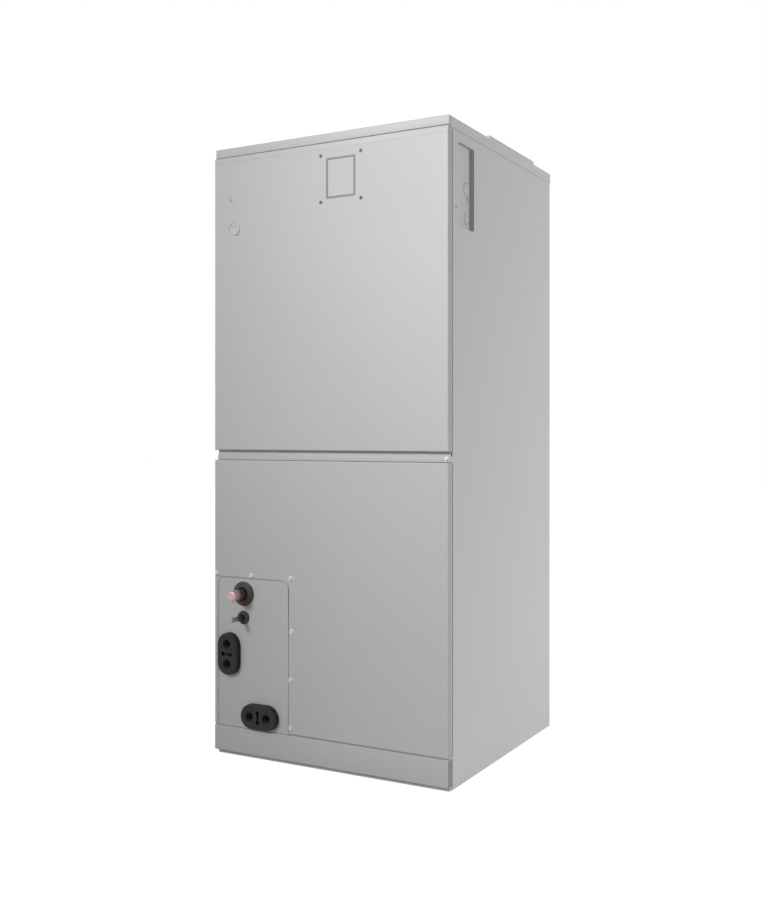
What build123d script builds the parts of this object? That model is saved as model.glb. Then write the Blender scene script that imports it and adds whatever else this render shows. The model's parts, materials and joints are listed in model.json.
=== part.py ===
from build123d import *
import os
from math import cos, radians, sin

os.makedirs("parts", exist_ok=True)

# Vertical ducted air handler cabinet, in millimetres.
# The origin is on the floor under the middle of the cabinet, the doors face -Y and +Z is up.

# Cabinet
cabinet_width = 533.4
cabinet_depth = 533.4
cabinet_height = 1244.6
sheet = 1.0
bend_radius = 2.0
corner_radius = 4.0
door_depth = 19.0
side_flange = 22.0
rear_flange = 20.0
top_flange = 18.0

# Cap and base
cap_skirt = 21.0
cap_setback = 9.0
base_lip = 16.0
base_sheet = 1.2
base_flange = 30.0

# Duct collar round the supply opening
collar_inset = 20.0
collar_depth = 245.0
collar_back_inset = 51.7
collar_height = 19.0
collar_flange = 11.0

# Doors and the seams between them
cap_gap = 3.2
seam_middle = 615.0
seam_height = 20.5
door_seam = 3.0
base_gap = 1.0
filter_door_height = 42.0
filter_end_inset = 8.0

# Cross rails of the front frame
rail_depth = 14.0
centre_rail_height = 52.0
header_height = 46.0

# Breaker window and knock-outs in the upper door
window_x = 36.5
window_drop = 89.6
window_width = 66.0
window_height = 79.0
window_slot = 2.4
window_radius = 4.0
window_bridge = 4.0
window_hole_pitch_x = 90.6
window_hole_pitch_z = 90.0
window_hole_radius = 2.1
knockout_slot = 0.8
knockout_bridge = 3.0
small_knockout_inset = 40.0
small_knockout_drop = 106.6
small_knockout_radius = 5.0
large_knockout_inset = 50.1
large_knockout_drop = 168.6
large_knockout_radius = 14.0

# Pipe plate and the cut-out that it fills
plate_left_inset = 9.3
plate_right_inset = 182.4
plate_top_z = 366.0
plate_radius = 15.0
plate_lap = 12.0
plate_return_inset = 1.5
plate_drop = 1.5

# Refrigerant stubs and their grommets
stub_inset = 72.9
suction_z = 333.0
suction_radius = 11.11
suction_reach = 43.0
suction_grommet_radius = 24.8
liquid_z = 285.0
liquid_radius = 4.76
liquid_reach = 44.0
liquid_grommet_radius = 13.8
grommet_lip = 3.2
grommet_neck_wall = 3.0
grommet_bulge = 3.5
stub_waist = 0.3
pipe_clearance = 0.1

# Drain port blocks
boss_length = 85.0
boss_width = 49.0
boss_reach = 12.0
boss_plate_clearance = 0.5
port_offset = 20.3
port_radius = 9.15
port_depth = 32.0
port_rim = 2.0
slot_length = 27.0
slot_width = 4.5
slot_depth = 7.0
slot_end_radius = 4.2
side_boss_inset = 39.3
side_boss_z = 209.0
lower_boss_inset = 115.7
lower_boss_z = 88.0

# Wiring recess in the right side panel
recess_setback = 43.7
recess_width = 73.0
recess_drop = 40.6
recess_height = 158.0
recess_depth = 8.5
recess_radius = 6.0
recess_flange = 8.0
recess_knockouts = ((39.0, 73.0, 14.0), (35.0, 100.0, 4.5), (37.0, 137.0, 11.1))

# Insulation
liner = 12.7
liner_gap = 1.0

# Plenum, blower deck and blower
deck_drop = 134.6
deck_flange = 20.0
deck_front_lap = 15.0
blank_plate_setback = 15.0
blower_back_space = 41.0
blower_drop = 170.0
housing_width = 270.0
scroll_end_radius = 205.0
scroll_step = 20.0
cutoff_angle = 70.0
throat_front = -20.0
throat_flange = 12.0
throat_collar = 12.0
inlet_radius = 105.0
inlet_lip = 10.0
wheel_radius = 127.0
wheel_width = 229.0
wheel_ring_width = 7.0
wheel_ring_wall = 1.6
wheel_plate = 2.0
blade_count = 36
blade_inner_radius = 105.0
blade_sheet = 1.0
blade_sag = 4.5
blade_bends = 3
hub_radius = 16.0
hub_length = 24.0
shaft_radius = 6.35
shaft_clearance = 0.05
motor_radius = 70.0
motor_length = 140.0
motor_gap = 12.0
bracket_wall = 2.0
bracket_width = 22.0
bracket_arm = 24.0
bracket_lap = 14.0

# Drain pans and coil
pan_z = 62.0
pan_wall = 3.0
pan_height = 52.0
pan_front_setback = 38.7
pan_back_space = 36.0
side_pan_width = 46.0
side_pan_height = 430.0
coil_angle = 72.0
coil_length = 430.0
coil_thickness = 60.0
coil_front_space = 28.0
coil_back_space = 25.0
coil_apex_gap = 14.0
coil_foot_height = 8.0
coil_plate = 1.2
pan_throat_margin = 12.0
pan_throat_wall = 30.0

# Shelves and filter rack
shelf_sheet = 1.5
shelf_leg = 20.0
left_shelf_width = 72.0
right_shelf_width = 30.0
filter_rail_width = 24.0
filter_rail_leg = 20.0
filter_back_space = 24.7

# Planes that several pieces share
door_face_y = -cabinet_depth / 2
frame_y = door_face_y + door_depth
rail_y = frame_y + sheet
side_x = cabinet_width / 2 - sheet
inner_x = side_x - sheet
rear_y = cabinet_depth / 2 - sheet
inner_y = rear_y - sheet
liner_x = inner_x - liner
liner_back_y = inner_y - sheet - liner
cap_face_y = door_face_y + cap_setback
cap_low_z = cabinet_height - cap_skirt
frame_top_z = cabinet_height - sheet
lining_top_z = frame_top_z - sheet
upper_door_top_z = cap_low_z - cap_gap
upper_door_low_z = seam_middle + seam_height / 2
lower_door_top_z = seam_middle - seam_height / 2
filter_door_low_z = base_lip + base_gap
filter_door_top_z = filter_door_low_z + filter_door_height
lower_door_low_z = filter_door_top_z + door_seam
plate_face_y = door_face_y + sheet
liner_front_y = rail_y + rail_depth
collar_back_y = cabinet_depth / 2 - collar_back_inset
collar_front_y = collar_back_y - collar_depth
deck_z = cabinet_height - deck_drop
blank_plate_y = collar_front_y - blank_plate_setback
deck_front_y = blank_plate_y - deck_front_lap
blower_y = liner_back_y - blower_back_space - scroll_end_radius
blower_z = deck_z - blower_drop
pan_front_y = door_face_y + pan_front_setback
pan_back_y = liner_back_y - pan_back_space
pan_left_x = -liner_x + side_pan_width + sheet
coil_x = (pan_left_x + liner_x) / 2
coil_front_y = pan_front_y + coil_front_space
coil_back_y = pan_back_y - coil_back_space
filter_back_y = inner_y - filter_back_space

# Places measured from the left side, from the top and from the front
plate_left_x = -cabinet_width / 2 + plate_left_inset
plate_right_x = -cabinet_width / 2 + plate_right_inset
stub_x = -cabinet_width / 2 + stub_inset
side_boss_x = -cabinet_width / 2 + side_boss_inset
lower_boss_x = -cabinet_width / 2 + lower_boss_inset
window_z = cabinet_height - window_drop
recess_front_y = door_face_y + recess_setback
recess_back_y = recess_front_y + recess_width
recess_high_z = cabinet_height - recess_drop
recess_low_z = recess_high_z - recess_height


def block(x0, x1, y0, y1, z0, z1):
    """A rectangular solid between two opposite corners."""
    middle = Pos((x0 + x1) / 2, (y0 + y1) / 2, (z0 + z1) / 2)
    return middle * Box(abs(x1 - x0), abs(y1 - y0), abs(z1 - z0))


def front_face(x, z, y):
    """A drawing plane that faces the front, with its first axis along +X and its second along +Z."""
    return Plane(origin=(x, y, z), x_dir=(1, 0, 0), z_dir=(0, -1, 0))


def side_face(y, z, x):
    """A drawing plane that faces +X, with its first axis along +Y and its second along +Z."""
    return Plane(origin=(x, y, z), x_dir=(0, 1, 0), z_dir=(1, 0, 0))


def rounded_block(x0, x1, y0, y1, z0, z1, radius, axis):
    """A rectangular solid whose four edges along one axis are rounded."""
    solid = block(x0, x1, y0, y1, z0, z1)
    return fillet(solid.edges().filter_by(axis), radius)


def front_corners(solid):
    """The upright edges at the front of a solid."""
    return solid.edges().filter_by(Axis.Z).group_by(Axis.Y)[0]


def knockout_ring(plane, radius, depth):
    """The cutter of a round knock-out: a narrow ring that two bridges interrupt."""
    ring = plane * (Circle(radius) - Circle(radius - knockout_slot))
    bridge = plane * Rectangle(4 * radius, knockout_bridge)
    return extrude(ring - bridge, depth, both=True)


def folded_block(half, y0, y1, z0, z1, radius):
    """A block whose four front edges are rounded folds that meet in mitred corners."""
    solid = block(-half, half, y0, y1, z0, z1)
    upright = fillet(front_corners(solid), radius)
    level = fillet(solid.edges().filter_by(Axis.X).group_by(Axis.Y)[0], radius)
    return upright & level


def door_pan(z_low, z_high):
    """A door: a face sheet with returns folded back on all four sides."""
    half = cabinet_width / 2
    outer = folded_block(half, door_face_y, frame_y, z_low, z_high, bend_radius)
    inner = folded_block(half - sheet, plate_face_y, frame_y, z_low + sheet, z_high - sheet, bend_radius - sheet)
    return outer - inner


def window_slot_cutter():
    """The outline of the breaker window, cut all round except at a bridge on each side."""
    plane = front_face(window_x, window_z, door_face_y)
    outline = RectangleRounded(window_width, window_height, window_radius)
    inside = RectangleRounded(
        window_width - 2 * window_slot, window_height - 2 * window_slot, window_radius - window_slot / 2
    )
    bridges = Rectangle(2 * window_width, window_bridge)
    return extrude(plane * (outline - inside - bridges), 2 * sheet, both=True)


def window_hole_cutter():
    """Four small holes round the breaker window, for the cover of a breaker."""
    plane = front_face(window_x, window_z, door_face_y)
    holes = GridLocations(window_hole_pitch_x, window_hole_pitch_z, 2, 2) * Circle(window_hole_radius)
    return extrude(plane * Sketch(holes), 2 * sheet, both=True)


def upper_door():
    door = door_pan(upper_door_low_z, upper_door_top_z)
    door -= window_slot_cutter()
    door -= window_hole_cutter()
    left = -cabinet_width / 2
    small = front_face(left + small_knockout_inset, cabinet_height - small_knockout_drop, door_face_y)
    large = front_face(left + large_knockout_inset, cabinet_height - large_knockout_drop, door_face_y)
    door -= knockout_ring(small, small_knockout_radius, 2 * sheet)
    return door - knockout_ring(large, large_knockout_radius, 2 * sheet)


def lower_door():
    door = door_pan(lower_door_low_z, lower_door_top_z)
    opening = block(
        plate_left_x, plate_right_x, door_face_y - sheet, frame_y + sheet, lower_door_low_z - sheet, plate_top_z
    )
    upper_corners = opening.edges().filter_by(Axis.Y).group_by(Axis.Z)[-1]
    return door - fillet(upper_corners, plate_radius)


def filter_door():
    """A low channel whose end returns are set in from its ends."""
    half = cabinet_width / 2
    outer = block(-half, half, door_face_y, frame_y, filter_door_low_z, filter_door_top_z)
    face_edges = outer.faces().sort_by(Axis.Y)[0].edges().filter_by(Axis.X)
    outer = fillet(face_edges, bend_radius)
    inner = block(
        -half - sheet, half + sheet, plate_face_y, frame_y + sheet, filter_door_low_z + sheet, filter_door_top_z - sheet
    )
    inner_edges = inner.faces().sort_by(Axis.Y)[0].edges().filter_by(Axis.X)
    door = outer - fillet(inner_edges, bend_radius - sheet)
    for side in (-1, 1):
        outside = side * (half - filter_end_inset)
        door += block(
            outside, outside - side * sheet, plate_face_y, frame_y, filter_door_low_z + sheet, filter_door_top_z - sheet
        )
    return door


def side_panel(side):
    """A side: a flat sheet with flanges folded inwards at its front, back and top."""
    panel = block(side * inner_x, side * side_x, frame_y, inner_y, 0, frame_top_z)
    panel += block(
        side * (side_x - side_flange), side * side_x, frame_y, rail_y, base_lip, frame_top_z
    )
    panel += block(
        side * (inner_x - rear_flange), side * inner_x, inner_y - sheet, inner_y, base_lip, frame_top_z
    )
    panel += block(
        side * (inner_x - top_flange), side * inner_x, rail_y, inner_y - sheet, lining_top_z, frame_top_z
    )
    return panel


def side_panel_left():
    """The left side, its front flange notched round the upright drain block."""
    return side_panel(-1) - boss_body(side_boss_x, side_boss_z, 90, boss_plate_clearance, frame_y - sheet, rail_y + sheet)


def recess_outline(grow, x, depth):
    """The wiring recess's rounded rectangle, grown all round and pushed in along -X."""
    middle_y = (recess_front_y + recess_back_y) / 2
    middle_z = (recess_low_z + recess_high_z) / 2
    plane = side_face(middle_y, middle_z, x)
    shape = RectangleRounded(
        recess_back_y - recess_front_y + 2 * grow, recess_high_z - recess_low_z + 2 * grow, recess_radius + grow
    )
    return extrude(plane * shape, -depth)


def side_panel_right():
    return side_panel(1) - recess_outline(0, side_x + sheet, 3 * sheet)


def wiring_recess():
    """A pressed pocket behind the side panel's opening, with conduit knock-outs in its floor."""
    floor_x = side_x - recess_depth
    pocket = recess_outline(0, inner_x, inner_x - floor_x + sheet)
    pocket -= recess_outline(-sheet, inner_x, inner_x - floor_x)
    pocket += recess_outline(recess_flange, inner_x, sheet) - recess_outline(-sheet, inner_x, sheet)
    for setback, drop, radius in recess_knockouts:
        plane = side_face(recess_front_y + setback, recess_high_z - drop, floor_x)
        pocket -= knockout_ring(plane, radius, 2 * sheet)
    return pocket


def back_panel():
    return block(-side_x, side_x, inner_y, rear_y, 0, frame_top_z)


def supply_opening(grow, z0, z1):
    """The supply opening's straight-sided hole, grown all round."""
    half = cabinet_width / 2 - collar_inset + grow
    return block(-half, half, collar_front_y - grow, collar_back_y + grow, z0, z1)


def top_cap():
    half = cabinet_width / 2
    back = cabinet_depth / 2
    outer = block(-half, half, cap_face_y, back, cap_low_z, cabinet_height)
    outer = fillet(front_corners(outer), corner_radius)
    outer = fillet(outer.faces().sort_by(Axis.Z)[-1].edges(), bend_radius)
    inner = block(-half + sheet, half - sheet, cap_face_y + sheet, back - sheet, cap_low_z, frame_top_z)
    inner = fillet(front_corners(inner), corner_radius - sheet)
    return outer - inner - supply_opening(0, frame_top_z - sheet, cabinet_height + sheet)


def supply_collar():
    """An upright duct flange that stands in the cap's opening, with a foot flange on the cap."""
    wall = supply_opening(0, frame_top_z, cabinet_height + collar_height)
    foot = supply_opening(collar_flange, cabinet_height, cabinet_height + sheet)
    return wall + foot - supply_opening(-sheet, frame_top_z - sheet, cabinet_height + collar_height + sheet)


def base_frame():
    """A floor rim: a low wall with a flange folded in along its foot, open in the middle."""
    outer = block(-inner_x, inner_x, cap_face_y, inner_y, 0, base_lip)
    outer = fillet(front_corners(outer), corner_radius)
    inner = block(
        -inner_x + base_sheet, inner_x - base_sheet, cap_face_y + base_sheet, inner_y - base_sheet, base_sheet, base_lip
    )
    inner = fillet(front_corners(inner), corner_radius - base_sheet)
    opening = block(
        -inner_x + base_flange, inner_x - base_flange, cap_face_y + base_flange, inner_y - base_flange, 0, base_lip
    )
    return outer - inner - opening


def channel_rail(z0, z1):
    """A cross rail of the front frame: a channel that opens towards the inside."""
    rail = block(-inner_x, inner_x, rail_y, rail_y + rail_depth, z0, z1)
    return rail - block(-inner_x, inner_x, rail_y + sheet, rail_y + rail_depth, z0 + sheet, z1 - sheet)


def centre_rail():
    return channel_rail(seam_middle - centre_rail_height / 2, seam_middle + centre_rail_height / 2)


def header_rail():
    return channel_rail(lining_top_z - header_height, lining_top_z)


def pipe_plate():
    """The fixed plate behind the lower door's cut-out, with a return on the frame and four openings."""
    left = -cabinet_width / 2 + sheet + plate_return_inset
    low = lower_door_low_z - plate_drop
    lap_low = lower_door_low_z + corner_radius
    high = plate_top_z + plate_lap
    back = plate_face_y + sheet
    plate = block(plate_left_x, plate_right_x, plate_face_y, back, low, high)
    plate += block(left, plate_left_x, plate_face_y, back, lap_low, high)
    plate += block(plate_right_x, plate_right_x + plate_lap, plate_face_y, back, lap_low, high)
    plate += block(left, left + sheet, plate_face_y, frame_y, lap_low, high)
    for z, radius in ((suction_z, suction_radius), (liquid_z, liquid_radius)):
        hole = grommet_bore(radius) + grommet_neck_wall
        plate -= extrude(front_face(stub_x, z, plate_face_y) * Circle(hole), 2 * sheet, both=True)
    plate -= boss_body(side_boss_x, side_boss_z, 90, boss_plate_clearance, plate_face_y - sheet, frame_y)
    plate -= boss_body(lower_boss_x, lower_boss_z, 0, boss_plate_clearance, plate_face_y - sheet, frame_y)
    return plate


def grommet_bore(pipe_radius):
    """The radius of a grommet's bore, on the waist of its pipe."""
    return pipe_radius - stub_waist + pipe_clearance


def grommet(z, pipe_radius, lip_radius):
    """A rubber grommet: a domed lip in front of the plate and a neck through it."""
    bore = grommet_bore(pipe_radius)
    neck = bore + grommet_neck_wall
    front = -grommet_lip
    outline = Polyline(
        (bore, front - grommet_bulge), (bore, sheet), (neck, sheet), (neck, 0), (lip_radius, 0), (lip_radius, front),
        (neck + grommet_lip, front - grommet_bulge), close=True
    )
    profile = Plane(origin=(stub_x, plate_face_y, z), x_dir=(1, 0, 0), z_dir=(0, 0, 1)) * make_face(outline)
    return revolve(profile, Axis((stub_x, plate_face_y, z), (0, 1, 0)), 360)


def pipe_stub(z, radius, reach):
    """A copper stub closed by a chamfered end, with a waist in its grommet, that runs in to the coil."""
    front = door_face_y - reach
    shoulder = plate_face_y - grommet_lip - grommet_bulge - pipe_clearance
    end = coil_front_y - coil_plate
    waist = radius - stub_waist
    outline = Polyline(
        (0, front), (0.6 * radius, front), (radius, front + 0.4 * radius), (radius, shoulder), (waist, shoulder),
        (waist, end), (0, end), close=True
    )
    profile = Plane(origin=(stub_x, 0, z), x_dir=(1, 0, 0), z_dir=(0, 0, 1)) * make_face(outline)
    return revolve(profile, Axis((stub_x, 0, z), (0, 1, 0)), 360)


def boss_outline(grow):
    """A stadium outline, grown all round."""
    return SlotOverall(boss_length + 2 * grow, boss_width + 2 * grow)


def boss_body(x, z, turn, grow, y_front, y_back):
    """A stadium prism that faces the front, turned about its own axis."""
    plane = front_face(x, z, y_front)
    return extrude(plane * (Rot(0, 0, turn) * boss_outline(grow)), -(y_back - y_front))


def drain_boss(x, z, turn):
    """A moulded port block with two blind pipe ports and a cross slot between them."""
    front = door_face_y - boss_reach
    body = boss_body(x, z, turn, 0, front, pan_front_y)
    body = chamfer(body.faces().sort_by(Axis.Y)[0].edges(), port_rim)
    plane = front_face(x, z, front)
    ports = Pos(-port_offset, 0) * Circle(port_radius) + Pos(port_offset, 0) * Circle(port_radius)
    body -= extrude(plane * (Rot(0, 0, turn) * ports), -port_depth)
    slot = Rectangle(slot_width, slot_length)
    for end in (-1, 1):
        slot += Pos(0, end * (slot_length / 2 - slot_end_radius)) * Circle(slot_end_radius)
    body -= extrude(plane * (Rot(0, 0, turn) * slot), -slot_depth)
    return body


def deck_slot():
    """The space that the blower deck and its flanges take in the wall insulation."""
    return block(-inner_x, inner_x, deck_front_y, inner_y, deck_z - deck_flange, deck_z + sheet)


def side_liner(side):
    """Insulation on one side wall, from the coil shelf to the top, let in for the blower deck."""
    pad = block(
        side * liner_x, side * inner_x, liner_front_y, liner_back_y, pan_z + liner_gap, lining_top_z
    )
    return pad - deck_slot()


def liner_right():
    """The right wall's insulation, also cut away round the wiring recess."""
    margin = recess_flange + liner_gap
    return side_liner(1) - block(
        liner_x, inner_x, recess_front_y - margin, recess_back_y + margin, recess_low_z - margin, recess_high_z + margin
    )


def liner_back():
    """The back wall's insulation, parted by the blower deck."""
    pad = block(-inner_x, inner_x, liner_back_y, liner_back_y + liner, pan_z + liner_gap, lining_top_z)
    return pad - deck_slot()


def blower_deck():
    """The plenum's floor, with flanges folded down on three sides and the blower's outlet cut in it."""
    back = inner_y - sheet
    deck = block(-inner_x, inner_x, deck_front_y, back, deck_z, deck_z + sheet)
    for side in (-1, 1):
        deck += block(side * (inner_x - sheet), side * inner_x, deck_front_y, back, deck_z - deck_flange, deck_z)
    deck += block(-inner_x, inner_x, back - sheet, back, deck_z - deck_flange, deck_z)
    half = housing_width / 2 - sheet
    return deck - block(
        -half, half, blower_y + throat_front + sheet, blower_y + scroll_end_radius - sheet, deck_z, deck_z + sheet
    )


def heater_blank_plate():
    """The front wall of the plenum over the blower, with a flange under the cap."""
    plate = block(-liner_x, liner_x, blank_plate_y, blank_plate_y + sheet, deck_z + sheet, lining_top_z)
    return plate + block(
        -liner_x, liner_x, blank_plate_y - top_flange, blank_plate_y, lining_top_z - sheet, lining_top_z
    )


def scroll_outline(top):
    """The blower housing's outline in (y, z): tangent arcs from the outlet round to the cutoff, and the throat."""
    centre = Vector(blower_y + scroll_step / 2, blower_z + scroll_step / 2)
    radius = scroll_end_radius - scroll_step / 2
    moves = ((0, -scroll_step), (-scroll_step, 0), (0, scroll_step))
    outline = CenterArc(centre, radius, 0, -90)
    start = outline @ 0
    for index, move in enumerate(moves):
        centre += Vector(*move)
        radius -= scroll_step
        sweep_angle = -90 if index < 2 else cutoff_angle - 90
        arc = CenterArc(centre, radius, -90 * (index + 1), sweep_angle)
        outline += arc
    front_y = blower_y + throat_front
    throat = Polyline(arc @ 1, (front_y, deck_z - throat_collar), (front_y, top), (start.X, top), start)
    return make_face(outline + throat)


def blower_housing():
    """The scroll: a wrapped sheet between two side plates with rolled inlets, and an outlet flange."""
    half = housing_width / 2
    middle_plane = side_face(0, 0, 0)
    shell = extrude(middle_plane * scroll_outline(deck_z), half, both=True)
    hollow = offset(scroll_outline(deck_z + 2 * sheet), -sheet)
    shell -= extrude(middle_plane * hollow, half - sheet, both=True)
    axis_plane = side_face(blower_y, blower_z, 0)
    shell -= extrude(axis_plane * Circle(inlet_radius), housing_width, both=True)
    for side in (-1, 1):
        ring = axis_plane.offset(side * half) * (Circle(inlet_radius + sheet) - Circle(inlet_radius))
        shell += extrude(ring, -side * inlet_lip)
    front = blower_y + throat_front
    back = blower_y + scroll_end_radius
    flange = block(
        -half - throat_flange, half + throat_flange, front - throat_flange, back + throat_flange, deck_z - sheet, deck_z
    )
    flange -= block(-half + sheet, half - sheet, front + sheet, back - sheet, deck_z - sheet, deck_z)
    return shell + flange


def wheel_blade(angle):
    """One forward-curved blade, bent in short flats from the inner to the outer radius."""
    reach = wheel_radius - wheel_ring_wall / 2 - blade_inner_radius
    shares = [step / blade_bends for step in range(blade_bends + 1)]
    front = [(blade_inner_radius + reach * share, 4 * blade_sag * share * (1 - share)) for share in shares]
    back = [(x, y + blade_sheet) for x, y in reversed(front)]
    return Rot(0, 0, angle) * make_face(Polyline(*front, *back, close=True))


def blower_wheel():
    """The squirrel-cage wheel: curved blades between two end rings, with a centre plate and hub."""
    plane = side_face(blower_y, blower_z, 0)
    blades = [wheel_blade(360 * index / blade_count) for index in range(blade_count)]
    wheel = extrude(plane * Sketch(blades), wheel_width / 2, both=True)
    for side in (-1, 1):
        end = plane.offset(side * wheel_width / 2) * (Circle(wheel_radius) - Circle(wheel_radius - wheel_ring_wall))
        wheel += extrude(end, -side * wheel_ring_width)
    wheel += extrude(plane * Circle(wheel_radius - wheel_ring_wall), wheel_plate / 2, both=True)
    wheel += extrude(plane * Circle(hub_radius), hub_length / 2, both=True)
    return wheel - extrude(plane * Circle(shaft_radius + shaft_clearance), hub_length, both=True)


def blower_motor():
    """The motor on the right of the wheel's centre plate, with its shaft through the hub."""
    start = hub_length / 2 + motor_gap
    plane = side_face(blower_y, blower_z, start)
    body = extrude(plane * Circle(motor_radius), motor_length)
    shaft_plane = side_face(blower_y, blower_z, -hub_length)
    return body + extrude(shaft_plane * Circle(shaft_radius), start + hub_length)


def motor_bracket():
    """A band round the motor with three arms that reach the housing's side plate."""
    half = housing_width / 2
    plane = side_face(blower_y, blower_z, half)
    band = Circle(motor_radius + bracket_wall) - Circle(motor_radius)
    bracket = extrude(plane * band, bracket_width)
    reach = inlet_radius + sheet + bracket_lap
    arm = Pos((reach + motor_radius) / 2, 0) * Rectangle(reach - motor_radius, bracket_arm) - Circle(motor_radius)
    for turn in (90, 210, 330):
        bracket += extrude(plane * (Rot(0, 0, turn) * arm), bracket_wall)
    return bracket


def coil_half_outline(side, z_low):
    """The corners of one leaning coil slab in (x, z), from its inner foot round to its inner top."""
    lean = radians(coil_angle)
    rise = coil_length * sin(lean)
    run = coil_length * cos(lean)
    wide = coil_thickness * sin(lean)
    drop = coil_thickness * cos(lean)
    top = coil_x + side * coil_apex_gap / 2
    foot = top + side * run
    return ((foot, z_low + drop), (foot + side * wide, z_low), (top + side * wide, z_low + rise), (top, z_low + rise + drop))


coil_low_z = pan_z + pan_wall + coil_foot_height
coil_foot_outer = coil_half_outline(1, coil_low_z)[1][0]
coil_foot_inner = coil_half_outline(1, coil_low_z)[0][0]
coil_top_z = coil_half_outline(1, coil_low_z)[3][1]


def coil_slab(side):
    """One leaning slab of the coil."""
    corners = coil_half_outline(side, coil_low_z)
    face = make_face(Polyline(*corners, close=True))
    plane = front_face(0, 0, coil_front_y)
    return extrude(plane * face, -(coil_back_y - coil_front_y))


def coil_end_plate(y0, y1):
    """A sheet that closes one end of both slabs and the air space between them."""
    left = coil_half_outline(-1, coil_low_z)
    right = coil_half_outline(1, coil_low_z)
    face = make_face(Polyline(left[1], left[2], left[3], right[3], right[2], right[1], close=True))
    return extrude(front_face(0, 0, y0) * face, -(y1 - y0))


def coil_front_plate():
    """The front end plate, widened above the pan to both walls, where the copper lines run in."""
    y0 = coil_front_y - coil_plate
    wide = block(
        pan_left_x + sheet, liner_x - liner_gap, y0, coil_front_y, pan_z + pan_height + liner_gap, coil_top_z
    )
    return coil_end_plate(y0, coil_front_y) + wide


def coil_apex_strip():
    """A folded strip over the ridge where the two slabs meet."""
    half = coil_apex_gap / 2 + coil_thickness / 3
    return block(coil_x - half, coil_x + half, coil_front_y, coil_back_y, coil_top_z, coil_top_z + coil_plate)


def drain_pan():
    """The pan under the coil: a gutter round a central air opening."""
    high_x = liner_x
    outer = rounded_block(pan_left_x, high_x, pan_front_y, pan_back_y, pan_z, pan_z + pan_height, corner_radius, Axis.Z)
    trough = rounded_block(
        pan_left_x + pan_wall, high_x - pan_wall, pan_front_y + pan_wall, pan_back_y - pan_wall,
        pan_z + pan_wall, pan_z + pan_height, corner_radius - sheet, Axis.Z
    )
    half = coil_foot_inner - coil_x - pan_throat_margin
    front = coil_front_y + pan_throat_margin
    back = coil_back_y - pan_throat_margin
    throat = block(coil_x - half, coil_x + half, front, back, pan_z, pan_z + pan_throat_wall)
    hole = block(
        coil_x - half + pan_wall, coil_x + half - pan_wall, front + pan_wall, back - pan_wall, pan_z, pan_z + pan_throat_wall
    )
    pan = outer - trough + throat
    for side in (-1, 1):
        foot = coil_x + side * (coil_foot_outer - coil_x - coil_thickness / 4)
        pan += block(
            foot, foot - side * pan_wall, pan_front_y + pan_wall, pan_back_y - pan_wall, pan_z + pan_wall, coil_low_z
        )
    return pan - hole


def side_drain_pan():
    """The pan that catches water when the cabinet lies on its side, here standing by the left wall."""
    low_x = -liner_x
    high_x = low_x + side_pan_width
    top = pan_z + side_pan_height
    outer = rounded_block(low_x, high_x, pan_front_y, pan_back_y, pan_z, top, corner_radius, Axis.X)
    trough = block(
        low_x + pan_wall, high_x, pan_front_y + pan_wall, pan_back_y - pan_wall, pan_z + pan_wall, top - pan_wall
    )
    return outer - trough


def coil_shelf(side, width):
    """An angle on the side panel that carries the pans."""
    top = pan_z
    shelf = block(side * inner_x, side * (inner_x - width), liner_front_y, liner_back_y, top - shelf_sheet, top)
    return shelf + block(side * inner_x, side * (inner_x - shelf_sheet), liner_front_y, liner_back_y, top - shelf_leg, top)


def filter_rail(side):
    """An angle that a filter slides in on."""
    low = base_lip
    rail = block(side * inner_x, side * (inner_x - filter_rail_width), rail_y, filter_back_y, low, low + shelf_sheet)
    return rail + block(side * inner_x, side * (inner_x - shelf_sheet), rail_y, filter_back_y, low, low + filter_rail_leg)


def filter_stop():
    """An angle across the back that the filter slides in against."""
    half = inner_x - shelf_sheet
    stop = block(-inner_x, inner_x, filter_back_y, inner_y - base_sheet, base_lip, base_lip + shelf_sheet)
    return stop + block(-half, half, filter_back_y, filter_back_y + shelf_sheet, base_lip, base_lip + filter_rail_leg)


def door_liner(z0, z1):
    """Insulation glued to the inside of a door."""
    half = side_x - side_flange - liner_gap
    return block(-half, half, plate_face_y, plate_face_y + liner, z0, z1)


def liner_upper_door():
    """The upper door's insulation, cut away behind the breaker window."""
    pad = door_liner(upper_door_low_z + liner, upper_door_top_z - liner)
    half_x = window_hole_pitch_x / 2 + liner
    half_z = window_hole_pitch_z / 2 + liner
    return pad - block(
        window_x - half_x, window_x + half_x, plate_face_y, frame_y, window_z - half_z, upper_door_top_z
    )


def liner_lower_door():
    """The lower door's insulation, cut away round the pipe plate."""
    pad = door_liner(lower_door_low_z + liner, lower_door_top_z - liner)
    cut = block(
        -cabinet_width, plate_right_x + plate_lap + liner_gap, plate_face_y, frame_y, 0, plate_top_z + plate_lap + liner_gap
    )
    return pad - cut


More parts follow.
